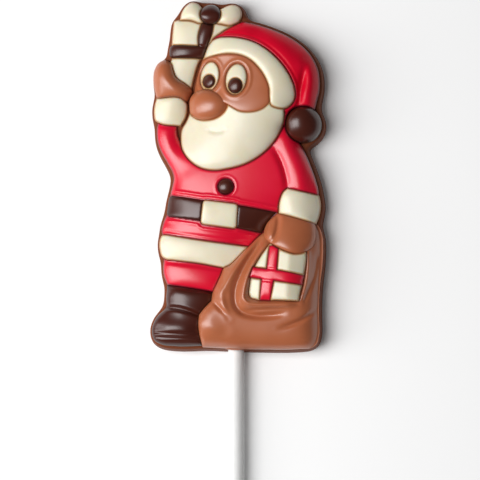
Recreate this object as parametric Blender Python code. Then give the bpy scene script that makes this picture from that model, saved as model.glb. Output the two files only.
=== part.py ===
"""Moulded chocolate lollipop on a paper stick, lying on its flat back with the figure up.

A backing of milk chocolate carries the face, the nose, the hands and the sack in one piece.
The red, white and dark fields are separate castings that stand on its front.
Drawing values are millimetres: x to the right as the figure is seen, y towards the hat, z out of
the front.
"""
import math

import bmesh
import bpy
import numpy as np
from mathutils import Matrix, Vector
from mathutils.geometry import delaunay_2d_cdt
from mathutils.kdtree import KDTree

MM = 0.001

# Stick
STICK_DIAMETER = 4.0
STICK_LENGTH = 150.0
STICK_SUNK = 55.0
STICK_SIDES = 24

# Backing: its wall leans in and a chamfer leads over to the front, in steps of inset and height.
# Its rim shows beside the fields, less of it beside the milk ones.
PLATE_HEIGHT = 5.8
WALL_STEPS = [(0.0, 0.0), (0.3, 0.86), (1.05, 0.99), (1.2, 1.0)]
RIM_WIDTH = 1.10
MILK_RIM_WIDTH = 0.6
RIM_SOFTNESS = 1.3
STICK_HEIGHT = PLATE_HEIGHT / 2

# Fields: the gap round each, the lift of an outline that lies on the backing, the thinnest casting,
# and the depth at which the milk fields root in the backing, each at its own
GAP = 0.3
EDGE_LIFT = 0.6
THINNEST = 0.5
THINNEST_BLEND = 0.08
MILK_ROOT = 1.0
ROOT_STAGGER = 0.05

# Spacing of points along outlines and inside fields, the smallest area cast, how softly and how far
# a field takes up the heights behind it, and the narrowest fold that the spacing can show
EDGE_STEP = 1.1
INNER_STEP = 1.25
SMALLEST_FIELD = 1.0
GROUND_SOFTNESS = 0.8
GROUND_REACH = 100.0
FINEST_FOLD = 0.8

# The boxed parcel's front rises to the right up to an edge, beyond which its side turns away
PARCEL_EDGE = (13.6, 17.5)
PARCEL_LEAN = 0.06
PARCEL_RISE = 0.14
PARCEL_SLOPE = 0.5
PARCEL_ROUNDING = 0.2

# The sack falls away to the right of this line
SACK_SIDE = 17.8
SACK_SLOPE = 0.6

# Meshing
FULL_OFFSET = 0.97
MERGE_DISTANCE = 0.01
SOLVED = 1e-12
FLAT_ANGLE = 0.01
SHARP_ANGLE = math.radians(40)

# The third value of a point marks a corner of the outline. Where a field runs on under the ones
# in front of it, its outline does too.
SHARP = 1

NOSE = [(-11.3, 60.5), (-11.1, 62.7), (-9.4, 64.4), (-6.8, 64.8), (-3.8, 63.7), (-1.4, 61.2),
        (-2.1, 59.3), (-3.9, 57.7), (-6.6, 57.0), (-9.6, 57.6), (-11.0, 58.8)]
BUCKLE = [(-7.8, 37.25), (1.05, 36.1), (0.6, 29.9), (-8.5, 31.1)]
CUFF_RAISED = [(-19.6, 62.9, SHARP), (-12.7, 62.3), (-12.05, 61.6), (-11.9, 60.0), (-12.2, 58.4),
               (-13.6, 55.8, SHARP), (-18.9, 56.6), (-19.8, 57.1), (-20.3, 59.2), (-20.1, 61.3)]
CUFF_LOWERED = [(13.2, 40.1, SHARP), (16.1, 39.4), (20.9, 38.4, SHARP), (21.3, 36.7), (21.3, 35.0),
                (20.9, 33.0), (20.2, 31.2, SHARP), (16.1, 32.4), (13.6, 33.1), (10.9, 33.8, SHARP),
                (11.0, 35.8), (11.4, 37.5), (12.2, 39.2)]
HAND_RAISED = [(-20.5, 67.3), (-20.2, 70.0), (-19.2, 71.7), (-17.5, 72.5), (-16.1, 71.6), (-15.5, 69.8),
               (-14.9, 68.2), (-12.1, 66.1), (-10.8, 64.8), (-11.5, 62.6), (-12.6, 61.3, SHARP),
               (-19.4, 61.9, SHARP), (-19.9, 63.9)]
HAND_LOWERED = [(7.3, 29.9), (8.1, 31.6), (9.3, 32.8), (10.4, 33.7), (11.6, 35.0, SHARP),
                (19.6, 33.4, SHARP), (20.0, 31.0), (20.2, 29.2), (20.1, 27.4), (19.5, 25.7), (18.3, 24.4),
                (16.5, 23.6), (14.7, 23.5), (12.8, 24.1), (9.9, 25.6), (8.8, 26.4), (7.8, 27.4),
                (7.3, 28.6)]
BRIM = [(-8.0, 72.6, SHARP), (-7.5, 74.0), (-6.7, 75.9), (-5.6, 77.2), (-4.3, 77.7), (-1.4, 77.85),
        (2.4, 77.3), (5.1, 76.4), (8.1, 74.6), (10.6, 72.4), (12.6, 70.0), (14.1, 67.5), (15.1, 64.7),
        (15.2, 62.7), (14.4, 60.9), (12.9, 59.8), (10.9, 59.8), (9.3, 60.5), (8.9, 62.3), (8.8, 64.6),
        (7.6, 67.8), (6.0, 70.1), (4.1, 71.9), (1.9, 73.0), (-0.9, 73.5), (-4.0, 73.35)]
FACE = [(-8.1, 72.7, SHARP), (-4.0, 75.0), (1.0, 75.2), (6.0, 73.2), (9.6, 69.0), (10.4, 64.0),
        (8.9, 61.2), (7.3, 59.7), (5.4, 59.0), (3.4, 58.8), (1.4, 59.1), (-0.3, 60.0), (-2.3, 61.2),
        (-6.0, 61.6), (-10.3, 63.6, SHARP), (-10.1, 65.5), (-9.5, 68.0), (-8.8, 70.4)]
BEARD = [(-11.0, 60.0), (-12.2, 57.2), (-13.4, 55.0), (-13.65, 52.5), (-13.1, 49.9), (-11.9, 47.9),
         (-8.2, 45.1), (-5.1, 44.5), (-1.9, 44.8), (3.6, 46.4), (8.6, 50.0), (11.6, 54.5), (12.5, 57.5),
         (12.4, 60.0), (8.0, 66.0), (0.0, 68.0), (-8.0, 65.0)]
LOOP_LEFT = [(-13.9, 82.4, SHARP), (-13.5, 84.2), (-12.4, 86.0), (-10.9, 86.95), (-9.4, 86.6),
             (-8.3, 85.6), (-7.2, 84.5), (-7.2, 82.0, SHARP), (-8.3, 81.5), (-11.0, 82.2)]
LOOP_RIGHT = [(-4.9, 81.6, SHARP), (-4.9, 84.3), (-3.5, 85.3), (-2.2, 85.9), (-0.6, 86.3), (0.9, 85.7),
              (1.6, 84.4), (1.5, 82.7), (1.0, 81.7, SHARP), (-1.1, 80.9), (-3.5, 81.3)]
HAT = [(-5.3, 77.8, SHARP), (-3.4, 79.2), (0.6, 81.5), (1.9, 82.0), (3.6, 81.7), (8.7, 80.2), (13.8, 77.9),
       (16.3, 76.2), (18.3, 74.2), (19.8, 72.0), (20.8, 69.4), (21.1, 67.0), (21.0, 64.5), (20.4, 62.0),
       (19.5, 59.0), (17.0, 57.0), (12.0, 55.5), (5.0, 54.0), (-3.0, 55.0), (-9.5, 60.5), (-9.7, 64.0),
       (-9.1, 68.0), (-7.6, 73.0), (-6.5, 76.0)]
RIBBON_RAISED = [(-8.1, 82.0), (-5.2, 82.0, SHARP), (-5.7, 78.9), (-6.6, 76.4), (-7.9, 72.7, SHARP),
                 (-14.5, 72.9), (-15.7, 72.95), (-16.3, 73.4), (-16.5, 74.5), (-16.3, 75.7),
                 (-15.7, 76.15), (-14.5, 76.15), (-9.1, 75.9, SHARP), (-9.2, 78.0), (-8.6, 80.7)]
WRAP_RAISED = [(-15.4, 82.2, SHARP), (-13.0, 82.9), (-7.0, 82.7), (-3.0, 82.2), (0.5, 81.2, SHARP),
               (-3.0, 77.4), (-7.2, 73.4, SHARP), (-8.6, 72.4), (-9.5, 70.5), (-10.2, 68.0), (-10.8, 65.6),
               (-11.4, 63.8, SHARP), (-13.0, 64.6), (-16.3, 67.2), (-17.0, 70.4), (-15.9, 72.8),
               (-15.9, 76.3), (-15.7, 79.3)]
RIBBON_SACK = [(8.75, 25.6, SHARP), (11.3, 26.0, SHARP), (10.8, 19.6, SHARP), (17.5, 18.25, SHARP),
               (17.05, 15.75, SHARP), (10.0, 16.8, SHARP), (9.05, 11.9, SHARP), (6.35, 12.0, SHARP),
               (6.8, 17.2, SHARP), (3.8, 17.7, SHARP), (4.7, 20.4, SHARP), (8.1, 19.9, SHARP)]
WRAP_SACK = [(9.3, 26.6, SHARP), (17.8, 25.3, SHARP), (17.95, 23.0), (17.4, 18.5), (16.6, 14.5),
             (16.0, 11.8, SHARP), (11.1, 12.0), (5.4, 12.25), (4.1, 12.7), (3.6, 13.8), (3.75, 15.5),
             (4.2, 18.0), (5.1, 20.5), (6.6, 23.0)]
SACK = [(7.3, 29.4, SHARP), (5.6, 27.9), (4.0, 26.25), (1.9, 24.1), (0.4, 22.5), (-1.1, 21.1),
        (-2.8, 20.2), (-3.4, 18.75), (-4.5, 16.3), (-5.6, 14.0), (-5.85, 12.1, SHARP), (-7.4, 10.5),
        (-8.9, 8.6, SHARP), (-9.05, 6.3), (-8.8, 3.7), (-8.1, 0.7, SHARP), (-2.4, 0.4), (6.6, 0.1),
        (16.1, 0.2), (18.9, 0.5), (20.2, 1.4), (20.8, 3.2), (20.85, 8.0), (20.9, 13.0), (21.2, 17.0),
        (21.7, 21.0), (21.9, 25.0), (21.7, 28.5), (20.6, 31.0), (16.1, 32.0), (11.1, 31.2)]
BELT = [(-16.4, 38.1), (-15.9, 38.35), (-14.8, 38.2), (-8.1, 37.1), (1.1, 35.75), (10.4, 34.1, SHARP),
        (8.6, 32.2), (7.4, 30.5), (6.7, 29.0, SHARP), (0.4, 30.25), (-8.9, 32.0), (-15.3, 33.1),
        (-16.5, 33.35), (-17.0, 33.9), (-16.95, 35.2), (-16.65, 37.3)]
HEM = [(-18.6, 28.0), (-18.2, 28.6), (-17.4, 28.7), (-15.5, 28.4), (-8.9, 27.3), (4.5, 25.5, SHARP),
       (2.8, 23.2), (0.8, 21.2), (-1.8, 20.2), (-3.4, 20.45), (-8.9, 21.45), (-15.5, 22.3), (-17.3, 22.6),
       (-18.3, 23.4), (-18.8, 25.0), (-18.9, 26.8)]
SKIRT = [(-16.6, 34.8, SHARP), (6.5, 31.0, SHARP), (7.5, 29.0), (5.5, 26.8), (3.5, 24.8, SHARP),
         (-8.0, 26.0), (-17.6, 27.6, SHARP), (-18.4, 29.6), (-18.1, 31.4), (-17.4, 33.2)]
BOOT = [(-16.95, 16.25, SHARP), (-11.4, 15.4), (-4.2, 14.2, SHARP), (-4.8, 11.5), (-7.0, 7.5),
        (-7.2, 1.1, SHARP), (-15.1, 1.0), (-18.6, 1.5), (-20.0, 2.3), (-20.7, 3.7), (-20.75, 5.2),
        (-20.2, 7.1), (-19.2, 8.7), (-17.9, 9.9), (-17.2, 11.0), (-17.2, 12.5), (-17.1, 14.5)]
LEG = [(-17.7, 24.3, SHARP), (-1.0, 22.0, SHARP), (-1.8, 19.0), (-3.2, 15.8), (-4.6, 13.2, SHARP),
       (-11.3, 14.2), (-16.6, 15.0, SHARP), (-17.1, 16.6), (-17.8, 18.5), (-18.0, 20.5), (-17.9, 22.0)]
COAT = [(-19.0, 57.8, SHARP), (-14.3, 57.2, SHARP), (-14.5, 55.2), (-14.2, 53.2), (-13.0, 51.3),
        (-10.0, 51.0), (-3.0, 54.0), (6.0, 57.0), (13.0, 57.8), (15.3, 55.0), (16.0, 51.8), (17.3, 49.4),
        (18.9, 45.6), (20.1, 42.2), (20.8, 39.0), (20.3, 36.5, SHARP), (14.0, 35.5), (10.4, 33.0, SHARP),
        (6.0, 29.6), (1.5, 25.5), (-2.0, 22.6, SHARP), (-9.0, 22.6), (-16.5, 23.2, SHARP), (-17.7, 26.0),
        (-17.2, 30.0), (-16.3, 34.0), (-16.3, 38.4), (-15.7, 41.0), (-15.4, 42.9), (-15.7, 44.3),
        (-16.9, 46.6), (-18.6, 49.7), (-19.4, 52.0), (-19.6, 54.2), (-19.5, 56.0)]


def anticlockwise(loop):
    x, y = loop.T
    area = (x * np.roll(y, -1) - np.roll(x, -1) * y).sum()
    return loop if area > 0 else loop[::-1]


def smooth_line(points, closed=False):
    """Smooth curve through the points, with the corners that they mark."""
    spots = np.array([point[:2] for point in points], float)
    last = len(spots) - 1
    sharp = [len(point) > 2 or (not closed and i in (0, last)) for i, point in enumerate(points)]
    ahead = np.roll(spots, -1, axis=0) - spots
    length = np.hypot(*ahead.T)
    direction = ahead / length[:, None]
    length_before = np.roll(length, 1)
    share = (length / (length + length_before))[:, None]
    slope = np.roll(direction, 1, axis=0) * share + direction * (1 - share)
    stretches = []
    for i, start in enumerate(spots if closed else spots[:-1]):
        j = (i + 1) % len(spots)
        leaving = direction[i] if sharp[i] else slope[i]
        arriving = direction[i] if sharp[j] else slope[j]
        t = np.linspace(0, 1, max(1, round(length[i] / EDGE_STEP)), endpoint=False)[:, None]
        stretches.append((2 * t**3 - 3 * t**2 + 1) * start
                         + (t**3 - 2 * t**2 + t) * length[i] * leaving
                         + (3 * t**2 - 2 * t**3) * spots[j]
                         + (t**3 - t**2) * length[i] * arriving)
    if not closed:
        stretches.append(spots[-1:])
    return np.concatenate(stretches)


def smooth_loop(points):
    return anticlockwise(smooth_line(points, closed=True))


def oval(centre, radii, lean=0.0):
    """Ellipse whose top leans to the right by lean degrees."""
    count = max(12, round(math.tau * max(radii) / EDGE_STEP))
    angle = np.arange(count) * math.tau / count
    turn = math.radians(lean)
    x, y = radii[0] * np.cos(angle), radii[1] * np.sin(angle)
    return np.column_stack([centre[0] + x * math.cos(turn) + y * math.sin(turn),
                            centre[1] - x * math.sin(turn) + y * math.cos(turn)])


def rounded(corners, radius):
    """Outline with straight sides between the corners, which are rounded off."""
    corners = np.array(corners)
    arcs = []
    for before, corner, after in zip(np.roll(corners, 1, axis=0), corners, np.roll(corners, -1, axis=0)):
        start = corner + (before - corner) * radius / np.hypot(*(before - corner))
        end = corner + (after - corner) * radius / np.hypot(*(after - corner))
        t = np.linspace(0, 1, 5)[:, None]
        arcs.append((1 - t)**2 * start + 2 * t * (1 - t) * corner + t**2 * end)
    return anticlockwise(evenly_spaced(np.concatenate(arcs), EDGE_STEP))


def edge_distance(points, line, closed=True):
    """Distance from each point to the nearest stretch of the line."""
    ends = np.roll(line, -1, axis=0) if closed else line[1:]
    starts = line if closed else line[:-1]
    along = ends - starts
    offset = points[:, None] - starts
    share = (offset * along).sum(-1) / (along**2).sum(-1)
    nearest = offset - np.clip(share, 0, 1)[..., None] * along
    return np.sqrt((nearest**2).sum(-1)).min(axis=1)


def near_distance(points, line, within, closed=True):
    """Distance from each point to the line, or the limit itself where that is nearer."""
    low, high = line.min(axis=0) - within, line.max(axis=0) + within
    close = ((points > low) & (points < high)).all(axis=1)
    distance = np.full(len(points), float(within))
    distance[close] = np.minimum(edge_distance(points[close], line, closed), within)
    return distance


def inside(points, loop):
    """True for each point that the loop encloses."""
    x, y = points[:, :1], points[:, 1:]
    x1, y1 = loop.T
    x2, y2 = np.roll(loop, -1, axis=0).T
    spans = (y1 > y) != (y2 > y)
    rise = np.where(y1 == y2, 1, y2 - y1)
    crossings = spans & (x < (x2 - x1) * (y - y1) / rise + x1)
    return crossings.sum(axis=1) % 2 == 1


def grown(loop, distance):
    """The loop moved outwards, without the points that fold over in its hollows."""
    ahead = np.roll(loop, -1, axis=0) - np.roll(loop, 1, axis=0)
    outward = np.column_stack([ahead[:, 1], -ahead[:, 0]]) / np.hypot(*ahead.T)[:, None]
    moved = loop + outward * distance
    return moved[edge_distance(moved, loop) > FULL_OFFSET * abs(distance)]


def triangulate(loops, extra):
    """Triangles of all that the loops enclose, and the loops that hold each triangle."""
    points = np.concatenate(loops + [extra])
    starts = np.cumsum([0] + [len(loop) for loop in loops])
    outlines = [list(range(a, b)) for a, b in zip(starts, starts[1:])]
    result = delaunay_2d_cdt([Vector(point) for point in points], [], outlines, 1, MERGE_DISTANCE)
    return np.array([tuple(point) for point in result[0]]), np.array(result[2]), result[5]


def rim_edges(triangles):
    """Edges that only one of the triangles has, in that triangle's direction."""
    edges = {}
    for a, b, c in triangles.tolist():
        for edge in ((a, b), (b, c), (c, a)):
            if edge[::-1] in edges:
                del edges[edge[::-1]]
            else:
                edges[edge] = True
    return list(edges)


def joined_outline(loops):
    """Outer edge of all the loops together."""
    points, triangles, _ = triangulate(loops, np.empty((0, 2)))
    follow = dict(rim_edges(triangles))
    longest = []
    while follow:
        start = next(iter(follow))
        walk = [start]
        while walk[-1] in follow:
            walk.append(follow.pop(walk[-1]))
        longest = max(longest, walk[:-1], key=len)
    return points[longest]


def evenly_spaced(loop, step):
    """The same closed curve with its points a step apart."""
    closed = np.vstack([loop, loop[:1]])
    run = np.concatenate([[0], np.cumsum(np.hypot(*np.diff(closed, axis=0).T))])
    stations = np.linspace(0, run[-1], round(run[-1] / step), endpoint=False)
    return np.column_stack([np.interp(stations, run, closed[:, i]) for i in range(2)])


def softened(values, spread):
    """Values along a closed curve, each blended with those within about the spread."""
    for _ in range(round(2 * (spread / EDGE_STEP) ** 2)):
        values = (np.roll(values, 1, axis=0) + 2 * values + np.roll(values, -1, axis=0)) / 4
    return values


def plate_outline():
    """Edge of the backing: it follows the fields at the rim's width, with soft hollows."""
    edge = joined_outline([grown(outline, MILK_RIM_WIDTH if chocolate == "milk" else RIM_WIDTH)
                           for name, chocolate, outline, *_ in FIELDS if name != "stick_lip"])
    return softened(evenly_spaced(edge, EDGE_STEP), RIM_SOFTNESS)


def membrane(points, triangles, reach, load, held):
    """Heights of a skin blown up by a load and held at given heights along its outer edge.

    It solves u - reach**2 * laplacian(u) = load on the triangles by conjugate gradients.
    """
    first, second, weight = [], [], []
    share = np.zeros(len(points))
    for i in range(3):
        a, b, c = triangles[:, i], triangles[:, (i + 1) % 3], triangles[:, (i + 2) % 3]
        to_b, to_c = points[b] - points[a], points[c] - points[a]
        twice_area = to_b[:, 0] * to_c[:, 1] - to_b[:, 1] * to_c[:, 0]
        first.append(b)
        second.append(c)
        weight.append(reach**2 * (to_b * to_c).sum(axis=1) / twice_area / 2)
        share += np.bincount(a, twice_area / 6, len(points))
    first, second, weight = (np.concatenate(part) for part in (first, second, weight))
    diagonal = share + np.bincount(first, weight, len(points)) + np.bincount(second, weight, len(points))
    free = share > 0
    free[np.unique(rim_edges(triangles))] = False

    def apply(values):
        pull = np.bincount(first, weight * values[second], len(points))
        pull += np.bincount(second, weight * values[first], len(points))
        return (diagonal * values - pull) * free

    scale = np.where(free, 1 / np.where(diagonal > 0, diagonal, 1), 0)
    height = np.where(free, 0.0, held)
    error = share * load * free - apply(height)
    step = scale * error
    energy = first_energy = error @ step
    for _ in range(len(points)):
        if energy <= SOLVED * first_energy:
            break
        pushed = apply(step)
        amount = energy / (step @ pushed)
        height += amount * step
        error -= amount * pushed
        eased = scale * error
        step, energy = eased + step * ((error @ eased) / energy), error @ eased
    return height


def nearest(points, spots):
    """Index of the point that lies nearest to each spot."""
    tree = KDTree(len(points))
    for index, (x, y) in enumerate(points.tolist()):
        tree.insert((x, y, 0.0), index)
    tree.balance()
    return np.array([tree.find((x, y, 0.0))[1] for x, y in spots.tolist()])


def fold(points, line, width, height, fade):
    """Rounded fold along a smooth line, or a crease where the height is negative.

    It dies away over the fade at both ends.
    """
    line = smooth_line(line)
    width = max(width, FINEST_FOLD)
    reached = near_distance(points, line, 3 * width, closed=False)
    across = np.exp(-((reached / width) ** 2)) - math.exp(-9)
    for end in (line[0], line[-1]):
        across *= 1 - np.exp(-((points - end) ** 2).sum(axis=1) / fade**2)
    return height * across


def hat_relief(points):
    """The hat is fullest beside the brim, and its tail hangs as a thick roll beside a crease."""
    crown = fold(points, [(5.0, 78.7), (8.5, 77.1), (12.5, 74.2), (15.8, 70.0), (17.0, 66.0)],
                 3.0, 0.9, 4.0)
    tail = fold(points, [(18.2, 72.5), (19.0, 67.5), (18.7, 63.0), (17.9, 57.0)], 1.8, 1.1, 3.0)
    crease = fold(points, [(17.9, 72.0), (17.2, 68.0), (16.4, 64.0), (15.9, 58.0)], 0.8, -0.9, 3.0)
    return crown + tail + crease


def coat_relief(points):
    """Both sleeves stand out from the coat, the lowered one beside a crease."""
    raised = fold(points, [(-16.9, 60.0), (-17.0, 53.0), (-15.5, 48.0), (-12.0, 44.5)], 2.2, 0.7, 5.0)
    lowered = fold(points, [(11.0, 56.0), (14.0, 50.0), (16.3, 44.5), (17.0, 36.0)], 2.3, 0.9, 2.0)
    crease = fold(points, [(8.6, 51.5), (10.9, 48.3), (12.3, 45.0), (13.0, 42.0), (13.1, 38.0)],
                  0.8, -0.8, 3.0)
    return raised + lowered + crease


def boot_relief(points):
    """A full shaft and toe, the top band, a deep crease at the ankle, two lines round the sole."""
    band = fold(points, [(-18.5, 16.2), (-14.5, 15.4), (-11.4, 14.7), (-3.5, 14.0)], 0.25, -0.3, 1.5)
    ankle = fold(points, [(-19.0, 10.6), (-16.5, 10.5), (-13.9, 10.2), (-11.4, 9.5), (-7.0, 7.6)],
                 0.5, -1.0, 1.5)
    sole = fold(points, [(-23.0, 4.6), (-17.0, 4.1), (-13.0, 3.9), (-6.0, 3.2)], 0.25, -0.35, 1.5)
    welt = fold(points, [(-23.0, 3.5), (-17.0, 3.05), (-13.0, 2.9), (-6.0, 2.3)], 0.25, -0.35, 1.5)
    shaft = fold(points, [(-17.0, 15.0), (-11.4, 14.6), (-5.5, 14.0)], 2.2, 0.5, 1.5)
    toe = fold(points, [(-19.5, 5.4), (-16.0, 5.2), (-9.0, 4.6)], 2.0, 0.7, 2.0)
    return band + ankle + sole + welt + shaft + toe


def raised_hand_relief(points):
    """The knuckles make one long back that turns towards the thumb."""
    return fold(points, [(-17.9, 74.0), (-18.0, 68.5), (-15.5, 65.3), (-10.5, 62.5)], 1.9, 0.6, 2.5)


def lowered_hand_relief(points):
    """A thumb beside the crease that parts it from the closed fingers."""
    crease = fold(points, [(10.9, 34.5), (10.8, 30.5), (10.2, 27.9), (8.6, 25.5)], 0.6, -0.8, 1.8)
    thumb = fold(points, [(8.8, 33.0), (8.7, 29.5), (9.0, 26.5)], 0.9, 0.4, 1.5)
    return crease + thumb


def sack_relief(points):
    """Folds round the sack's open mouth, over a full bottom and a right side that falls away."""
    mouth = [(9.2, 27.6), (6.7, 24.2), (4.7, 20.9), (3.2, 17.5), (2.5, 14.5), (2.4, 12.6), (3.3, 11.4),
             (5.3, 11.0), (9.9, 10.9), (16.0, 11.0)]
    valley = [(7.8, 29.5), (5.4, 25.2), (3.3, 22.0), (1.6, 18.7), (0.4, 15.5), (0.1, 13.0), (0.6, 10.6),
              (1.9, 9.2), (4.0, 8.5), (9.0, 8.3), (14.0, 8.9)]
    outer_roll = [(6.2, 27.6), (3.1, 24.0), (0.6, 20.8), (-1.6, 16.8), (-3.4, 12.6)]
    return (fold(points, mouth, 0.8, 1.2, 2.0) + fold(points, valley, 0.75, -1.2, 4.0)
            + fold(points, outer_roll, 1.0, 0.7, 2.0)
            + fold(points, [(1.0, 9.6), (4.9, 9.65), (9.9, 10.0), (14.5, 10.2)], 0.35, -0.35, 2.0)
            + fold(points, [(-3.3, 17.0), (-3.3, 13.3), (-2.5, 10.3), (-1.4, 7.5)], 0.9, 0.6, 1.8)
            + fold(points, [(-6.4, 12.8), (-3.6, 10.2), (-1.2, 7.6)], 0.5, -0.8, 2.2)
            + fold(points, [(-8.0, 8.5), (-6.0, 5.8), (-2.0, 4.2)], 1.8, 0.4, 2.5)
            + fold(points, [(18.4, 25.0), (18.3, 19.5), (17.7, 15.5), (16.6, 11.6)], 0.45, 0.7, 0.9)
            + fold(points, [(20.6, 24.5), (19.6, 18.0), (18.1, 14.0), (16.9, 11.2)], 0.5, -0.6, 1.5)
            + fold(points, [(21.8, 11.4), (18.9, 8.7), (16.6, 7.1), (13.8, 5.9), (10.0, 4.8)],
                   0.6, -0.7, 3.0)
            - SACK_SLOPE * np.logaddexp(0, points[:, 0] - SACK_SIDE))


def parcel_relief(points):
    """The boxed parcel's front rises to its right-hand edge, where it turns away."""
    edge = PARCEL_EDGE[0] + (points[:, 1] - PARCEL_EDGE[1]) * PARCEL_LEAN
    beyond = np.logaddexp(0, (points[:, 0] - edge) / PARCEL_ROUNDING) * PARCEL_ROUNDING
    return PARCEL_RISE * (points[:, 0] - points[:, 0].min()) - PARCEL_SLOPE * beyond


def grid_points(outline, lines):
    """Points inside the outline in staggered rows, clear of the outline and the lines."""
    low, high = outline.min(axis=0), outline.max(axis=0)
    step = min(INNER_STEP, (high - low).min() / 4)
    rows = np.arange(low[1], high[1], step * math.sin(math.radians(60)))
    grid = np.array([(x + step / 2 * (n % 2), y) for n, y in enumerate(rows)
                     for x in np.arange(low[0], high[0], step)])
    grid = grid[inside(grid, outline)]
    for line in lines:
        grid = grid[near_distance(grid, line, INNER_STEP) > step / 2]
    return grid


def parts_of(triangles):
    """The triangles in groups that hang together by their edges."""
    groups = []
    for triangle in triangles.tolist():
        edges = {frozenset(pair) for pair in zip(triangle, triangle[1:] + triangle[:1])}
        members = [triangle]
        apart = []
        for group_edges, group_members in groups:
            if edges.isdisjoint(group_edges):
                apart.append((group_edges, group_members))
            else:
                edges |= group_edges
                members += group_members
        groups = apart + [(edges, members)]
    return [np.array(members) for _, members in groups]


# Chocolates: colour as linear red, green and blue, and roughness
CHOCOLATES = {
    "milk": ((0.42, 0.17, 0.08), 0.32),
    "white": ((0.80, 0.74, 0.56), 0.35),
    "dark": ((0.045, 0.014, 0.010), 0.25),
    "red": ((0.72, 0.014, 0.040), 0.32),
}
PAPER = ((0.85, 0.85, 0.84), 0.6)

# Fields from front to back: name, chocolate, outline, rise of the middle over what lies behind,
# and width of the rounding at the edge
FIELDS = [
    ("nose", "milk", smooth_loop(NOSE), 3.0, 8.0),
    ("pupil_left", "dark", oval((-6.4, 66.8), (1.6, 1.7)), 1.0, 4.0),
    ("pupil_right", "dark", oval((0.4, 65.4), (1.8, 1.95)), 1.1, 4.0),
    ("eye_left", "white", oval((-6.2, 68.1), (2.5, 3.7), 8.0), 0.9, 3.0),
    ("eye_right", "white", oval((0.6, 67.1), (2.7, 3.9), 8.0), 0.9, 3.0),
    ("button", "dark", oval((-2.1, 40.45), (1.95, 1.95)), 1.2, 5.0),
    ("buckle", "white", rounded(BUCKLE, 1.1), 0.8, 1.2),
    ("cuff_raised", "white", smooth_loop(CUFF_RAISED), 1.3, 3.0),
    ("cuff_lowered", "white", smooth_loop(CUFF_LOWERED), 1.4, 4.0),
    ("hand_raised", "milk", smooth_loop(HAND_RAISED), 2.8, 3.0),
    ("hand_lowered", "milk", smooth_loop(HAND_LOWERED), 2.8, 4.0),
    ("pompom", "dark", oval((17.1, 56.0), (4.5, 4.55)), 3.8, 12.0),
    ("brim", "white", smooth_loop(BRIM), 1.5, 3.0),
    ("face", "milk", smooth_loop(FACE), 1.2, 6.0),
    ("beard", "white", smooth_loop(BEARD), 3.0, 8.0),
    ("knot", "dark", oval((-6.1, 83.75), (2.6, 2.6)), 1.9, 6.0),
    ("loop_left", "white", smooth_loop(LOOP_LEFT), 2.0, 6.0),
    ("loop_right", "white", smooth_loop(LOOP_RIGHT), 2.0, 6.0),
    ("hat", "red", smooth_loop(HAT), 5.4, 9.0),
    ("ribbon_raised", "dark", smooth_loop(RIBBON_RAISED), 1.0, 1.2),
    ("wrap_raised", "white", smooth_loop(WRAP_RAISED), 1.6, 1.5),
    ("ribbon_sack", "red", smooth_loop(RIBBON_SACK), 0.5, 0.8),
    ("wrap_sack", "white", smooth_loop(WRAP_SACK), 0.8, 1.0),
    ("sack", "milk", smooth_loop(SACK), 4.2, 2.6),
    ("belt", "dark", smooth_loop(BELT), 0.7, 1.5),
    ("hem", "white", smooth_loop(HEM), 1.0, 2.0),
    ("skirt", "red", smooth_loop(SKIRT), 0.7, 1.5),
    ("boot", "dark", smooth_loop(BOOT), 3.0, 6.0),
    ("leg", "red", smooth_loop(LEG), 2.6, 8.0),
    ("coat", "red", smooth_loop(COAT), 4.5, 12.0),
    ("stick_lip", "milk", oval((0.0, 0.75), (2.9, 0.8)), 0.7, 2.0),
]
RELIEFS = {"hat": hat_relief, "coat": coat_relief, "boot": boot_relief, "sack": sack_relief,
           "hand_raised": raised_hand_relief, "hand_lowered": lowered_hand_relief,
           "wrap_sack": parcel_relief}
# Share by which a field sits level instead of following the slope behind it
LEVELLED = {"pompom": 0.6, "nose": 0.6, "leg": 0.8, "hem": 0.5, "boot": 0.6, "cuff_raised": 0.5,
            "wrap_sack": 0.6, "hand_lowered": 0.3}


def field_surface(field, fronts, ground):
    """Points and heights of a field, its triangles, and those that its fronts leave to be seen."""
    name, _, outline, rise, reach = field
    fronts = [front for front in fronts if inside(front, outline).any() or inside(outline, front).any()]
    lines = [outline] + fronts
    points, triangles, owners = triangulate(lines, grid_points(outline, lines))
    own = triangles[[0 in owner for owner in owners]]
    clear = triangles[[list(owner) == [0] for owner in owners]]
    rim = np.unique(rim_edges(own))
    held = np.zeros(len(points))
    seat = softened(ground, GROUND_SOFTNESS)
    seat += LEVELLED.get(name, 0.0) * (seat.mean() - seat)
    held[rim] = seat[nearest(outline, points[rim])]
    lying = membrane(points, own, GROUND_REACH, 0.0, held)
    dome = membrane(points, own, reach, 1.0, np.zeros(len(points)))
    height = lying + rise * np.sqrt(np.clip(dome / dome.max(), 0, 1))
    if name in RELIEFS:
        height += RELIEFS[name](points)
    height = np.logaddexp(height / THINNEST_BLEND, THINNEST / THINNEST_BLEND) * THINNEST_BLEND
    return points, PLATE_HEIGHT + height, own, clear


def area(points, triangles):
    a, b, c = (points[triangles[:, i]] for i in range(3))
    return abs((b - a)[:, 0] * (c - a)[:, 1] - (b - a)[:, 1] * (c - a)[:, 0]).sum() / 2


def flattened(shape, faces):
    """Joins faces that lie in one plane."""
    edges = dict.fromkeys(edge for face in faces for edge in face.edges)
    corners = dict.fromkeys(corner for face in faces for corner in face.verts)
    bmesh.ops.dissolve_limit(shape, angle_limit=FLAT_ANGLE, edges=list(edges), verts=list(corners))


def mesh_of(name, shape):
    """Mesh in metres of a shape in millimetres."""
    bmesh.ops.recalc_face_normals(shape, faces=shape.faces[:])
    bmesh.ops.scale(shape, vec=(MM, MM, MM), verts=shape.verts[:])
    mesh = bpy.data.meshes.new(name)
    shape.to_mesh(mesh)
    shape.free()
    return mesh


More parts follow.
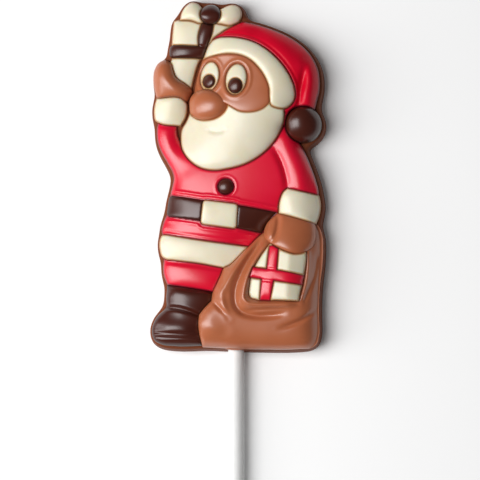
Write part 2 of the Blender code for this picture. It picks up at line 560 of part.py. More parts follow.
def relief_mesh(name, points, triangles, height, floor):
    """Closed solid between a flat floor and the height at each point."""
    shape = bmesh.new()
    level = shape.verts.layers.float.new("level")
    corners = {}
    for index in np.unique(triangles):
        corners[index] = shape.verts.new((*points[index], floor))
        corners[index][level] = height[index]
    for triangle in triangles:
        shape.faces.new([corners[index] for index in triangle])
    raised = bmesh.ops.extrude_face_region(shape, geom=shape.faces[:])["geom"]
    raised = {part for part in raised if isinstance(part, bmesh.types.BMVert)}
    for corner in raised:
        corner.co.z = corner[level]
    shape.verts.layers.float.remove(shape.verts.layers.float["level"])
    flattened(shape, [face for face in shape.faces if not raised & set(face.verts)])
    return mesh_of(name, shape)


def plate_mesh(edge):
    """Backing with a flat back, a leaning wall, a chamfer and a flat front."""
    shape = bmesh.new()
    ahead = np.roll(edge, -1, axis=0) - np.roll(edge, 1, axis=0)
    inward = np.column_stack([-ahead[:, 1], ahead[:, 0]]) / np.hypot(*ahead.T)[:, None]
    rings = [[shape.verts.new((x, y, share * PLATE_HEIGHT)) for x, y in edge + inward * inset]
             for inset, share in WALL_STEPS]
    for lower, upper in zip(rings, rings[1:]):
        for i, corner in enumerate(lower):
            j = (i + 1) % len(lower)
            shape.faces.new([corner, lower[j], upper[j], upper[i]])
    shape.faces.new(rings[0][::-1])
    shape.faces.new(rings[-1])
    return mesh_of("milk_body", shape)


def rod_mesh(name, radius, low, high):
    """Rod along y at the stick's height."""
    shape = bmesh.new()
    bmesh.ops.create_cone(shape, cap_ends=True, segments=STICK_SIDES, radius1=radius, radius2=radius,
                          depth=high - low)
    bmesh.ops.rotate(shape, verts=shape.verts[:], matrix=Matrix.Rotation(math.radians(90), 3, "X"))
    bmesh.ops.translate(shape, verts=shape.verts[:], vec=(0.0, (low + high) / 2, STICK_HEIGHT))
    return mesh_of(name, shape)


def add_object(name, mesh, colour, roughness):
    """Object with its own material."""
    material = bpy.data.materials.new(name)
    material.use_nodes = True
    surface = material.node_tree.nodes["Principled BSDF"]
    surface.inputs["Base Color"].default_value = (*colour, 1.0)
    surface.inputs["Roughness"].default_value = roughness
    surface.inputs["Metallic"].default_value = 0.0
    mesh.materials.clear()
    mesh.materials.append(material)
    mesh.shade_smooth()
    mesh.set_sharp_from_angle(angle=SHARP_ANGLE)
    piece = bpy.data.objects.new(name, mesh)
    bpy.context.scene.collection.objects.link(piece)
    return piece


def carved(body, additions, hollow):
    """Mesh of the body with the additions joined on and then the hollow cut out."""
    collection = bpy.data.collections.new("additions")
    bpy.context.scene.collection.children.link(collection)
    for mesh in additions:
        collection.objects.link(bpy.data.objects.new(mesh.name, mesh))
    cutter = bpy.data.objects.new(hollow.name, hollow)
    bpy.context.scene.collection.objects.link(cutter)
    join = body.modifiers.new("join", "BOOLEAN")
    join.operation = "UNION"
    join.solver = "EXACT"
    join.operand_type = "COLLECTION"
    join.collection = collection
    cut = body.modifiers.new("cut", "BOOLEAN")
    cut.operation = "DIFFERENCE"
    cut.solver = "EXACT"
    cut.object = cutter
    shown = body.evaluated_get(bpy.context.evaluated_depsgraph_get())
    mesh = bpy.data.meshes.new_from_object(shown)
    body.modifiers.clear()
    for helper in [*collection.objects, cutter]:
        bpy.data.objects.remove(helper)
    bpy.data.collections.remove(collection)
    return mesh


def main():
    for item in list(bpy.data.objects):
        bpy.data.objects.remove(item)

    joined = []
    pieces = []
    outlines = {field[0]: field[2] for field in FIELDS}
    borders = {name: grown(outline, GAP) for name, outline in outlines.items()}
    ground = {name: np.full(len(outline), EDGE_LIFT) for name, outline in outlines.items()}
    for order, field in reversed(list(enumerate(FIELDS))):
        name, chocolate, outline, *_ = field
        fronts = FIELDS[:order]
        cuts = [borders[front[0]] for front in fronts if not chocolate == front[1] == "milk"]
        points, height, own, clear = field_surface(field, cuts, ground[name])
        covered = np.unique(own)
        for front in fronts:
            lies = inside(outlines[front[0]], outline)
            if lies.any():
                under = covered[nearest(points[covered], outlines[front[0]][lies])]
                ground[front[0]][lies] = height[under] - PLATE_HEIGHT
        groups = [group for group in parts_of(clear) if area(points, group) > SMALLEST_FIELD]
        groups.sort(key=lambda group: -points[group].mean(axis=(0, 1))[1])
        for number, group in enumerate(groups, 1):
            title = name if len(groups) == 1 else f"{name}_{number}"
            if chocolate == "milk":
                root = PLATE_HEIGHT - MILK_ROOT - order * ROOT_STAGGER
                joined.append(relief_mesh(title, points, group, height, root))
            else:
                mesh = relief_mesh(title, points, group, height, PLATE_HEIGHT + GAP)
                pieces.append(add_object(title, mesh, *CHOCOLATES[chocolate]))

    edge = plate_outline()
    body = add_object("milk_body", plate_mesh(edge), *CHOCOLATES["milk"])
    bore = rod_mesh("bore", STICK_DIAMETER / 2 + GAP, edge[:, 1].min() - 1, STICK_SUNK + GAP)
    body.data = carved(body, joined, bore)
    pieces.append(body)
    stick = rod_mesh("stick", STICK_DIAMETER / 2, STICK_SUNK - STICK_LENGTH, STICK_SUNK)
    pieces.append(add_object("stick", stick, *PAPER))

    middle_x = (edge[:, 0].min() + edge[:, 0].max()) / 2
    middle_y = (edge[:, 1].max() + STICK_SUNK - STICK_LENGTH) / 2
    for piece in pieces:
        piece.location = Vector((-middle_x, -middle_y, 0.0)) * MM


main()
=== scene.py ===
"""Looks of the moulded chocolate lollipop: the cast fields at full smoothness, and their finishes.

Drawing values are millimetres in the figure's own drawing: x to the right as the figure is seen,
y towards the hat, z out of the front. They are moved to the frame's place when the meshes are made.
"""
import math

import bmesh
import bpy
import numpy as np
from mathutils import Euler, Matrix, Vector
from mathutils.geometry import delaunay_2d_cdt
from mathutils.kdtree import KDTree


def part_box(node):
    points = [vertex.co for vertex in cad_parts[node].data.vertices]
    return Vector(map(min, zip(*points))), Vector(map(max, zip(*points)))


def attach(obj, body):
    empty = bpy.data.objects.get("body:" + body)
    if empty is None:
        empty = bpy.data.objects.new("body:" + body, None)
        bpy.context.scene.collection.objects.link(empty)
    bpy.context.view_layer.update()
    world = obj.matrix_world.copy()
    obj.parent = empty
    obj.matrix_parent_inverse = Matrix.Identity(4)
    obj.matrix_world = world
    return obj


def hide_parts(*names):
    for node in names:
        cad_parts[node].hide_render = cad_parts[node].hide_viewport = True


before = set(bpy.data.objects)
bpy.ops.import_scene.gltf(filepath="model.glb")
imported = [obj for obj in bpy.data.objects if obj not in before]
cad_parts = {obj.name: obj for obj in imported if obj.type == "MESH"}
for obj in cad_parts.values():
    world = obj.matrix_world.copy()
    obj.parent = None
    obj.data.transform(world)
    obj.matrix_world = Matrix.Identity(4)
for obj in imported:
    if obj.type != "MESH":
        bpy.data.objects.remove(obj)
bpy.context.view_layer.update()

MM = 0.001

# Stick: the last value is how much narrower and shorter its worn ends are
STICK_DIAMETER = 4.0
STICK_LENGTH = 150.0
STICK_SUNK = 55.0
STICK_SIDES = 48
WORN_END = 0.15

# Backing: its wall leans in by the draft, and a chamfer with soft edges leads over to the front.
# It stands out beyond the fields by the rim, which is narrower round milk chocolate.
PLATE_HEIGHT = 5.8
PLATE_DRAFT = 0.35
PLATE_CHAMFER = 0.8
CHAMFER_BEND = 1.5
RIM_WIDTH = 1.0
MILK_RIM_WIDTH = 0.52
RIM_SOFTNESS = 1.3
STICK_HEIGHT = PLATE_HEIGHT / 2

# Fields: the gap between them, the height of their edges over the backing, the least height
# anywhere and how softly it sets in, how far they go down into the backing, and the least area
GAP = 0.03
EDGE_LIFT = 0.35
THINNEST = 0.2
THINNEST_BLEND = 0.08
SUNK = 0.8
SMALLEST_FIELD = 1.0

# How softly a field's edge follows what lies behind it, and the reach of the skin that carries
# the edge's height across the field
GROUND_SOFTNESS = 0.8
GROUND_REACH = 100.0

# Seam along a field's edge, the reach that its distance is kept for, and where its tint fades out.
# The tint is partly the chocolate beneath showing through and partly painted shade along the seam.
SEAM_DEPTH = 0.12
SEAM_WIDTH = 0.22
SEAM_REACH = 1.5
SEAM_TINT = (0.05, 0.55)

# Folds end at this many times their width
FOLD_REACH = 3.0

# The boxed parcel's front rises to the right up to an edge, beyond which its side turns away
PARCEL_EDGE = (13.6, 17.5)
PARCEL_LEAN = 0.06
PARCEL_RISE = 0.14
PARCEL_SLOPE = 0.5
PARCEL_ROUNDING = 0.2

# The sack falls away to the right of this line
SACK_SIDE = 17.8
SACK_SLOPE = 0.6

# Sizes of the finishes' patterns, and depths of their relief: clouding of the cocoa butter, grain
# of the cast skin, and fibres that run along the stick
CLOUD_SIZE = 6.25
GRAIN_SIZE = 0.4
GRAIN_DEPTH = 0.1
FIBRE_SIZE = (0.2, 2.857, 0.2)
FIBRE_DEPTH = 0.05

# Picture: its centre in the drawing, its width and the camera's distance in metres, the camera's
# lean to the right and downwards, and the width of its sensor
PICTURE_CENTRE = (1.35, 27.2, 9.0)
PICTURE_WIDTH = 0.1193
CAMERA_DISTANCE = 1.5
CAMERA_LEAN = (math.radians(3.5), math.radians(4.0))
SENSOR_WIDTH = 36.0

# Lights: place from the picture's centre and size in metres, and power in watts
SOFTBOX = ((-0.39, -0.05, 0.69), (0.52, 0.6), 6.5)
SIDE_LIGHT = ((-0.66, -0.1, 0.34), (0.4, 0.35), 1.7)

# Faint light from all round, and the white table's half width in metres and its faint glow
FILL_STRENGTH = 0.06
TABLE_REACH = 2.0
TABLE_GLOW = 0.05

# Meshing: spacing of the points along an outline and within a field, the rings of points along
# its edge, and how far the points within keep off a line
EDGE_STEP = 0.25
INNER_STEP = 0.34
EDGE_RINGS = (0.05, 0.12, 0.22)
CLEARANCE = INNER_STEP / 4

# Points in a rounded corner, degrees between the rings of the chamfer, share of its distance that
# a moved point keeps at least, distance below which points merge, and the error that is left in
# the heights
ARC_POINTS = 5
CHAMFER_STEP = 12
FULL_OFFSET = 0.97
MERGE_DISTANCE = 0.01
SOLVED = 1e-10

# The third value of a point marks a corner of the outline. Where a field runs on under the ones
# in front of it, its outline does too.
SHARP = 1

NOSE = [(-11.3, 60.5), (-11.1, 62.7), (-9.4, 64.4), (-6.8, 64.8), (-3.8, 63.7), (-1.4, 61.2),
        (-2.1, 59.3), (-3.9, 57.7), (-6.6, 57.0), (-9.6, 57.6), (-11.0, 58.8)]
BUCKLE = [(-7.8, 37.25), (1.05, 36.1), (0.6, 29.9), (-8.5, 31.1)]
CUFF_RAISED = [(-19.6, 62.9, SHARP), (-12.7, 62.3), (-12.05, 61.6), (-11.9, 60.0), (-12.2, 58.4),
               (-13.6, 55.8, SHARP), (-18.9, 56.6), (-19.8, 57.1), (-20.3, 59.2), (-20.1, 61.3)]
CUFF_LOWERED = [(13.2, 40.1, SHARP), (16.1, 39.4), (20.9, 38.4, SHARP), (21.3, 36.7), (21.3, 35.0),
                (20.9, 33.0), (20.2, 31.2, SHARP), (16.1, 32.4), (13.6, 33.1), (10.9, 33.8, SHARP),
                (11.0, 35.8), (11.4, 37.5), (12.2, 39.2)]
HAND_RAISED = [(-20.5, 67.3), (-20.2, 70.0), (-19.2, 71.7), (-17.5, 72.5), (-16.1, 71.6),
               (-15.5, 69.8), (-14.9, 68.2), (-12.1, 66.1), (-10.8, 64.8), (-11.5, 62.6),
               (-12.6, 61.3, SHARP), (-19.4, 61.9, SHARP), (-19.9, 63.9)]
HAND_LOWERED = [(7.3, 29.9), (8.1, 31.6), (9.3, 32.8), (10.4, 33.7), (11.6, 35.0, SHARP),
                (19.6, 33.4, SHARP), (20.0, 31.0), (20.2, 29.2), (20.1, 27.4), (19.5, 25.7),
                (18.3, 24.4), (16.5, 23.6), (14.7, 23.5), (12.8, 24.1), (9.9, 25.6), (8.8, 26.4),
                (7.8, 27.4), (7.3, 28.6)]
BRIM = [(-8.0, 72.6, SHARP), (-7.5, 74.0), (-6.7, 75.9), (-5.6, 77.2), (-4.3, 77.7), (-1.4, 77.85),
        (2.4, 77.3), (5.1, 76.4), (8.1, 74.6), (10.6, 72.4), (12.6, 70.0), (14.1, 67.5),
        (15.1, 64.7), (15.2, 62.7), (14.4, 60.9), (12.9, 59.8), (10.9, 59.8), (9.3, 60.5),
        (8.9, 62.3), (8.8, 64.6), (7.6, 67.8), (6.0, 70.1), (4.1, 71.9), (1.9, 73.0), (-0.9, 73.5),
        (-4.0, 73.35)]
FACE = [(-8.1, 72.7, SHARP), (-4.0, 75.0), (1.0, 75.2), (6.0, 73.2), (9.6, 69.0), (10.4, 64.0),
        (8.9, 61.2), (7.3, 59.7), (5.4, 59.0), (3.4, 58.8), (1.4, 59.1), (-0.3, 60.0), (-2.3, 61.2),
        (-6.0, 61.6), (-10.3, 63.6, SHARP), (-10.1, 65.5), (-9.5, 68.0), (-8.8, 70.4)]
BEARD = [(-11.0, 60.0), (-12.2, 57.2), (-13.4, 55.0), (-13.65, 52.5), (-13.1, 49.9), (-11.9, 47.9),
         (-8.2, 45.1), (-5.1, 44.5), (-1.9, 44.8), (3.6, 46.4), (8.6, 50.0), (11.6, 54.5),
         (12.5, 57.5), (12.4, 60.0), (8.0, 66.0), (0.0, 68.0), (-8.0, 65.0)]
LOOP_LEFT = [(-13.9, 82.4, SHARP), (-13.5, 84.2), (-12.4, 86.0), (-10.9, 86.95), (-9.4, 86.6),
             (-8.3, 85.6), (-7.2, 84.5), (-7.2, 82.0, SHARP), (-8.3, 81.5), (-11.0, 82.2)]
LOOP_RIGHT = [(-4.9, 81.6, SHARP), (-4.9, 84.3), (-3.5, 85.3), (-2.2, 85.9), (-0.6, 86.3),
              (0.9, 85.7), (1.6, 84.4), (1.5, 82.7), (1.0, 81.7, SHARP), (-1.1, 80.9), (-3.5, 81.3)]
HAT = [(-5.3, 77.8, SHARP), (-3.4, 79.2), (0.6, 81.5), (1.9, 82.0), (3.6, 81.7), (8.7, 80.2),
       (13.8, 77.9), (16.3, 76.2), (18.3, 74.2), (19.8, 72.0), (20.8, 69.4), (21.1, 67.0),
       (21.0, 64.5), (20.4, 62.0), (19.5, 59.0), (17.0, 57.0), (12.0, 55.5), (5.0, 54.0),
       (-3.0, 55.0), (-9.5, 60.5), (-9.7, 64.0), (-9.1, 68.0), (-7.6, 73.0), (-6.5, 76.0)]
RIBBON_RAISED = [(-8.1, 82.0), (-5.2, 82.0, SHARP), (-5.7, 78.9), (-6.6, 76.4), (-7.9, 72.7, SHARP),
                 (-14.5, 72.9), (-15.7, 72.95), (-16.3, 73.4), (-16.5, 74.5), (-16.3, 75.7),
                 (-15.7, 76.15), (-14.5, 76.15), (-9.1, 75.9, SHARP), (-9.2, 78.0), (-8.6, 80.7)]
WRAP_RAISED = [(-15.4, 82.2, SHARP), (-13.0, 82.9), (-7.0, 82.7), (-3.0, 82.2), (0.5, 81.2, SHARP),
               (-3.0, 77.4), (-7.2, 73.4, SHARP), (-8.6, 72.4), (-9.5, 70.5), (-10.2, 68.0),
               (-10.8, 65.6), (-11.4, 63.8, SHARP), (-13.0, 64.6), (-16.3, 67.2), (-17.0, 70.4),
               (-15.9, 72.8), (-15.9, 76.3), (-15.7, 79.3)]
RIBBON_SACK = [(8.75, 25.6, SHARP), (11.3, 26.0, SHARP), (10.8, 19.6, SHARP), (17.5, 18.25, SHARP),
               (17.05, 15.75, SHARP), (10.0, 16.8, SHARP), (9.05, 11.9, SHARP), (6.35, 12.0, SHARP),
               (6.8, 17.2, SHARP), (3.8, 17.7, SHARP), (4.7, 20.4, SHARP), (8.1, 19.9, SHARP)]
WRAP_SACK = [(9.3, 26.6, SHARP), (17.8, 25.3, SHARP), (17.95, 23.0), (17.4, 18.5), (16.6, 14.5),
             (16.0, 11.8, SHARP), (11.1, 12.0), (5.4, 12.25), (4.1, 12.7), (3.6, 13.8),
             (3.75, 15.5), (4.2, 18.0), (5.1, 20.5), (6.6, 23.0)]
SACK = [(7.3, 29.4, SHARP), (5.6, 27.9), (4.0, 26.25), (1.9, 24.1), (0.4, 22.5), (-1.1, 21.1),
        (-2.8, 20.2), (-3.4, 18.75), (-4.5, 16.3), (-5.6, 14.0), (-5.85, 12.1, SHARP), (-7.4, 10.5),
        (-8.9, 8.6, SHARP), (-9.05, 6.3), (-8.8, 3.7), (-8.1, 0.7, SHARP), (-2.4, 0.4), (6.6, 0.1),
        (16.1, 0.2), (18.9, 0.5), (20.2, 1.4), (20.8, 3.2), (20.85, 8.0), (20.9, 13.0),
        (21.2, 17.0), (21.7, 21.0), (21.9, 25.0), (21.7, 28.5), (20.6, 31.0), (16.1, 32.0),
        (11.1, 31.2)]
BELT = [(-16.4, 38.1), (-15.9, 38.35), (-14.8, 38.2), (-8.1, 37.1), (1.1, 35.75),
        (10.4, 34.1, SHARP), (8.6, 32.2), (7.4, 30.5), (6.7, 29.0, SHARP), (0.4, 30.25),
        (-8.9, 32.0), (-15.3, 33.1), (-16.5, 33.35), (-17.0, 33.9), (-16.95, 35.2), (-16.65, 37.3)]
HEM = [(-18.6, 28.0), (-18.2, 28.6), (-17.4, 28.7), (-15.5, 28.4), (-8.9, 27.3), (4.5, 25.5, SHARP),
       (2.8, 23.2), (0.8, 21.2), (-1.8, 20.2), (-3.4, 20.45), (-8.9, 21.45), (-15.5, 22.3),
       (-17.3, 22.6), (-18.3, 23.4), (-18.8, 25.0), (-18.9, 26.8)]
SKIRT = [(-16.6, 34.8, SHARP), (6.5, 31.0, SHARP), (7.5, 29.0), (5.5, 26.8), (3.5, 24.8, SHARP),
         (-8.0, 26.0), (-17.6, 27.6, SHARP), (-18.4, 29.6), (-18.1, 31.4), (-17.4, 33.2)]
BOOT = [(-16.95, 16.25, SHARP), (-11.4, 15.4), (-4.2, 14.2, SHARP), (-4.8, 11.5), (-7.0, 7.5),
        (-7.2, 1.1, SHARP), (-15.1, 1.0), (-18.6, 1.5), (-20.0, 2.3), (-20.7, 3.7), (-20.75, 5.2),
        (-20.2, 7.1), (-19.2, 8.7), (-17.9, 9.9), (-17.2, 11.0), (-17.2, 12.5), (-17.1, 14.5)]
LEG = [(-17.7, 24.3, SHARP), (-1.0, 22.0, SHARP), (-1.8, 19.0), (-3.2, 15.8), (-4.6, 13.2, SHARP),
       (-11.3, 14.2), (-16.6, 15.0, SHARP), (-17.1, 16.6), (-17.8, 18.5), (-18.0, 20.5),
       (-17.9, 22.0)]
COAT = [(-19.0, 57.8, SHARP), (-14.3, 57.2, SHARP), (-14.5, 55.2), (-14.2, 53.2), (-13.0, 51.3),
        (-10.0, 51.0), (-3.0, 54.0), (6.0, 57.0), (13.0, 57.8), (15.3, 55.0), (16.0, 51.8),
        (17.3, 49.4), (18.9, 45.6), (20.1, 42.2), (20.8, 39.0), (20.3, 36.5, SHARP), (14.0, 35.5),
        (10.4, 33.0, SHARP), (6.0, 29.6), (1.5, 25.5), (-2.0, 22.6, SHARP), (-9.0, 22.6),
        (-16.5, 23.2, SHARP), (-17.7, 26.0), (-17.2, 30.0), (-16.3, 34.0), (-16.3, 38.4),
        (-15.7, 41.0), (-15.4, 42.9), (-15.7, 44.3), (-16.9, 46.6), (-18.6, 49.7), (-19.4, 52.0),
        (-19.6, 54.2), (-19.5, 56.0)]


def anticlockwise(loop):
    """The loop, turned round where it runs clockwise."""
    x, y = loop.T
    area = (x * np.roll(y, -1) - np.roll(x, -1) * y).sum()
    return loop if area > 0 else loop[::-1]


def smooth_line(points, closed=False):
    """Smooth curve through the points, with the corners that they mark."""
    spots = np.array([point[:2] for point in points], float)
    last = len(spots) - 1
    sharp = [len(point) > 2 or (not closed and i in (0, last)) for i, point in enumerate(points)]
    ahead = np.roll(spots, -1, axis=0) - spots
    length = np.hypot(*ahead.T)
    direction = ahead / length[:, None]
    length_before = np.roll(length, 1)
    share = (length / (length + length_before))[:, None]
    slope = np.roll(direction, 1, axis=0) * share + direction * (1 - share)
    stretches = []
    for i, start in enumerate(spots if closed else spots[:-1]):
        j = (i + 1) % len(spots)
        leaving = direction[i] if sharp[i] else slope[i]
        arriving = direction[i] if sharp[j] else slope[j]
        t = np.linspace(0, 1, max(1, round(length[i] / EDGE_STEP)), endpoint=False)[:, None]
        stretches.append((2 * t**3 - 3 * t**2 + 1) * start
                         + (t**3 - 2 * t**2 + t) * length[i] * leaving
                         + (3 * t**2 - 2 * t**3) * spots[j]
                         + (t**3 - t**2) * length[i] * arriving)
    if not closed:
        stretches.append(spots[-1:])
    return np.concatenate(stretches)


def smooth_loop(points):
    return anticlockwise(smooth_line(points, closed=True))


def oval(centre, radii, lean=0.0):
    """Ellipse whose top leans to the right by lean degrees."""
    count = round(math.tau * max(radii) / EDGE_STEP)
    angle = np.arange(count) * math.tau / count
    turn = math.radians(lean)
    x, y = radii[0] * np.cos(angle), radii[1] * np.sin(angle)
    return np.column_stack([centre[0] + x * math.cos(turn) + y * math.sin(turn),
                            centre[1] - x * math.sin(turn) + y * math.cos(turn)])


def rounded(corners, radius):
    """Outline with straight sides between the corners, which are rounded off."""
    corners = np.array(corners)
    arcs = []
    behind, ahead = np.roll(corners, 1, axis=0), np.roll(corners, -1, axis=0)
    for before, corner, after in zip(behind, corners, ahead):
        start = corner + (before - corner) * radius / np.hypot(*(before - corner))
        end = corner + (after - corner) * radius / np.hypot(*(after - corner))
        t = np.linspace(0, 1, ARC_POINTS)[:, None]
        arcs.append((1 - t)**2 * start + 2 * t * (1 - t) * corner + t**2 * end)
    return anticlockwise(evenly_spaced(np.concatenate(arcs), EDGE_STEP))


def edge_distance(points, line, closed=True):
    """Distance from each point to the nearest stretch of the line."""
    ends = np.roll(line, -1, axis=0) if closed else line[1:]
    starts = line if closed else line[:-1]
    along = ends - starts
    offset = points[:, None] - starts
    share = (offset * along).sum(-1) / (along**2).sum(-1)
    nearest = offset - np.clip(share, 0, 1)[..., None] * along
    return np.sqrt((nearest**2).sum(-1)).min(axis=1)


def near_distance(points, line, within, closed=True):
    """Distance from each point to the line, or the limit itself where that is nearer."""
    low, high = line.min(axis=0) - within, line.max(axis=0) + within
    close = ((points > low) & (points < high)).all(axis=1)
    distance = np.full(len(points), float(within))
    distance[close] = np.minimum(edge_distance(points[close], line, closed), within)
    return distance


def inside(points, loop):
    """True for each point that the loop encloses."""
    x, y = points[:, :1], points[:, 1:]
    x1, y1 = loop.T
    x2, y2 = np.roll(loop, -1, axis=0).T
    spans = (y1 > y) != (y2 > y)
    rise = np.where(y1 == y2, 1, y2 - y1)
    crossings = spans & (x < (x2 - x1) * (y - y1) / rise + x1)
    return crossings.sum(axis=1) % 2 == 1


def grown(loop, distance):
    """The loop moved outwards, without the points that fold over in its hollows."""
    ahead = np.roll(loop, -1, axis=0) - np.roll(loop, 1, axis=0)
    outward = np.column_stack([ahead[:, 1], -ahead[:, 0]]) / np.hypot(*ahead.T)[:, None]
    moved = loop + outward * distance
    return moved[edge_distance(moved, loop) > FULL_OFFSET * abs(distance)]


def triangulate(loops, extra):
    """Triangles of all that the loops enclose, and the loops that hold each triangle."""
    points = np.concatenate(loops + [extra])
    starts = np.cumsum([0] + [len(loop) for loop in loops])
    outlines = [list(range(a, b)) for a, b in zip(starts, starts[1:])]
    result = delaunay_2d_cdt([Vector(point) for point in points], [], outlines, 1, MERGE_DISTANCE)
    return np.array([tuple(point) for point in result[0]]), np.array(result[2]), result[5]


def rim_edges(triangles):
    """Edges that only one of the triangles has, in that triangle's direction."""
    edges = {}
    for a, b, c in triangles.tolist():
        for edge in ((a, b), (b, c), (c, a)):
            if edge[::-1] in edges:
                del edges[edge[::-1]]
            else:
                edges[edge] = True
    return list(edges)


def joined_outline(loops):
    """Outer edge of all the loops together."""
    points, triangles, _ = triangulate(loops, np.empty((0, 2)))
    follow = dict(rim_edges(triangles))
    longest = []
    while follow:
        start = next(iter(follow))
        walk = [start]
        while walk[-1] in follow:
            walk.append(follow.pop(walk[-1]))
        longest = max(longest, walk[:-1], key=len)
    return points[longest]


def evenly_spaced(loop, step):
    """The same closed curve with its points a step apart."""
    closed = np.vstack([loop, loop[:1]])
    run = np.concatenate([[0], np.cumsum(np.hypot(*np.diff(closed, axis=0).T))])
    stations = np.linspace(0, run[-1], round(run[-1] / step), endpoint=False)
    return np.column_stack([np.interp(stations, run, closed[:, i]) for i in range(2)])


def softened(values, spread):
    """Values along a closed curve, each blended with those within about the spread."""
    # The variance of one pass is half a squared step
    for _ in range(round(2 * (spread / EDGE_STEP) ** 2)):
        values = (np.roll(values, 1, axis=0) + 2 * values + np.roll(values, -1, axis=0)) / 4
    return values


def plate_outline():
    """Edge of the backing: it follows the fields at the rim's width, with soft hollows.

    The lip round the stick lies within the rim, so it is left out.
    """
    edge = joined_outline([grown(outline, MILK_RIM_WIDTH if chocolate == "milk" else RIM_WIDTH)
                           for name, chocolate, outline, *_ in FIELDS if name != "stick_lip"])
    return softened(evenly_spaced(edge, EDGE_STEP), RIM_SOFTNESS)


def membrane(points, triangles, reach, load, held):
    """Heights of a skin blown up by a load and held at given heights along its outer edge.

    It solves u - reach**2 * laplacian(u) = load on the triangles by conjugate gradients.
    """
    first, second, weight = [], [], []
    share = np.zeros(len(points))
    for i in range(3):
        a, b, c = triangles[:, i], triangles[:, (i + 1) % 3], triangles[:, (i + 2) % 3]
        to_b, to_c = points[b] - points[a], points[c] - points[a]
        twice_area = to_b[:, 0] * to_c[:, 1] - to_b[:, 1] * to_c[:, 0]
        first.append(b)
        second.append(c)
        weight.append(reach**2 * (to_b * to_c).sum(axis=1) / twice_area / 2)
        share += np.bincount(a, twice_area / 6, len(points))
    first, second, weight = (np.concatenate(part) for part in (first, second, weight))
    diagonal = share + np.bincount(first, weight, len(points))
    diagonal += np.bincount(second, weight, len(points))
    free = share > 0
    free[np.unique(rim_edges(triangles))] = False

    def apply(values):
        pull = np.bincount(first, weight * values[second], len(points))
        pull += np.bincount(second, weight * values[first], len(points))
        return (diagonal * values - pull) * free

    scale = np.where(free, 1 / np.where(diagonal > 0, diagonal, 1), 0)
    height = np.where(free, 0.0, held)
    error = share * load * free - apply(height)
    step = scale * error
    energy = first_energy = error @ step
    for _ in range(len(points)):
        if energy <= SOLVED * first_energy:
            break
        pushed = apply(step)
        amount = energy / (step @ pushed)
        height += amount * step
        error -= amount * pushed
        eased = scale * error
        step, energy = eased + step * ((error @ eased) / energy), error @ eased
    return height


def nearest(points, spots):
    """Index of the point that lies nearest to each spot."""
    tree = KDTree(len(points))
    for index, (x, y) in enumerate(points.tolist()):
        tree.insert((x, y, 0.0), index)
    tree.balance()
    return np.array([tree.find((x, y, 0.0))[1] for x, y in spots.tolist()])


def grid_points(outline, fronts):
    """Points inside the outline in staggered rows, with close rings along its rounded edge."""
    low, high = outline.min(axis=0), outline.max(axis=0)
    rows = np.arange(low[1], high[1], INNER_STEP * math.sin(math.radians(60)))
    grid = np.array([(x + INNER_STEP / 2 * (n % 2), y) for n, y in enumerate(rows)
                     for x in np.arange(low[0], high[0], INNER_STEP)])
    grid = grid[inside(grid, outline)]
    grid = grid[near_distance(grid, outline, INNER_STEP) >= EDGE_RINGS[-1] + CLEARANCE]
    grid = np.concatenate([grid] + [grown(outline, -depth) for depth in EDGE_RINGS])
    for front in fronts:
        grid = grid[near_distance(grid, front, INNER_STEP) > CLEARANCE]
    return grid


def parts_of(triangles):
    """The triangles in groups that hang together by their edges."""
    groups = []
    for triangle in triangles.tolist():
        edges = {frozenset(pair) for pair in zip(triangle, triangle[1:] + triangle[:1])}
        members = [triangle]
        apart = []
        for group_edges, group_members in groups:
            if edges.isdisjoint(group_edges):
                apart.append((group_edges, group_members))
            else:
                edges |= group_edges
                members += group_members
        groups = apart + [(edges, members)]
    return [np.array(members) for _, members in groups]


def fold(points, line, width, height, fade):
    """Rounded fold along a smooth line, or a crease where the height is negative.

    It dies away over the fade at both ends.
    """
    line = smooth_line(line)
    reached = near_distance(points, line, FOLD_REACH * width, closed=False)
    across = np.exp(-((reached / width) ** 2)) - math.exp(-(FOLD_REACH**2))
    for end in (line[0], line[-1]):
        across *= 1 - np.exp(-((points - end) ** 2).sum(axis=1) / fade**2)
    return height * across


def hat_relief(points):
    """The hat is fullest beside the brim, and its tail hangs as a thick roll beside a crease."""
    crown = fold(points, [(5.0, 78.7), (8.5, 77.1), (12.5, 74.2), (15.8, 70.0), (17.0, 66.0)],
                 3.0, 0.9, 4.0)
    tail = fold(points, [(18.2, 72.5), (19.0, 67.5), (18.7, 63.0), (17.9, 57.0)], 1.8, 1.1, 3.0)
    crease = fold(points, [(17.9, 72.0), (17.2, 68.0), (16.4, 64.0), (15.9, 58.0)], 0.8, -0.9, 3.0)
    return crown + tail + crease


def coat_relief(points):
    """Both sleeves stand out from the coat, the lowered one beside a crease."""
    raised = fold(points, [(-16.9, 60.0), (-17.0, 53.0), (-15.5, 48.0), (-12.0, 44.5)],
                  2.2, 0.7, 5.0)
    lowered = fold(points, [(11.0, 56.0), (14.0, 50.0), (16.3, 44.5), (17.0, 36.0)],
                   2.3, 0.9, 2.0)
    crease = fold(points, [(8.6, 51.5), (10.9, 48.3), (12.3, 45.0), (13.0, 42.0), (13.1, 38.0)],
                  0.8, -0.8, 3.0)
    return raised + lowered + crease


